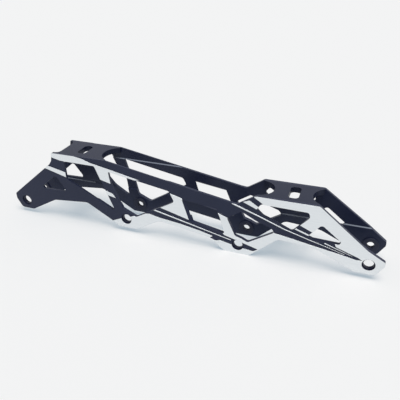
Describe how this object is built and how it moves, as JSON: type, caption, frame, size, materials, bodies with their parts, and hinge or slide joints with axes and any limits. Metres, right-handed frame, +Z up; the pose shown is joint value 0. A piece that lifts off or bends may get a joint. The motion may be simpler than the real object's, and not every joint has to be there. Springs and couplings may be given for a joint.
{
  "type": "inline skate frame",
  "caption": "Slim inline speed-skate frame: two pierced side rails joined by a rear and a front mount deck, with slots for the boot and lugs for wheel axles.",
  "frame": {"origin": "middle of the footprint, at the foot of the lowest lug", "axes": "+X forward along the frame, +Y to the skater's left, +Z up towards the boot"},
  "size_m": [0.35, 0.033, 0.0703],
  "materials": {
    "milled_aluminium": "satin, milled bright over black anodised ground",
    "black_anodised": "satin black anodised aluminium",
    "black_steel": "black oxide",
    "steel_pin": "ground"
  },
  "bodies": {
    "root": {"right_rail": "milled_aluminium", "left_rail": "milled_aluminium", "rear_deck": "black_anodised", "front_deck": "black_anodised", "rear_deck_dowels": "steel_pin", "front_deck_dowels": "steel_pin", "axle_bush_1": "black_steel", "axle_bush_2": "black_steel", "axle_bush_3": "black_steel", "axle_bush_4": "black_steel", "axle_insert_1": "black_steel", "axle_insert_2": "black_steel", "axle_insert_3": "black_steel", "axle_insert_4": "black_steel"}
  },
  "joints": []
}
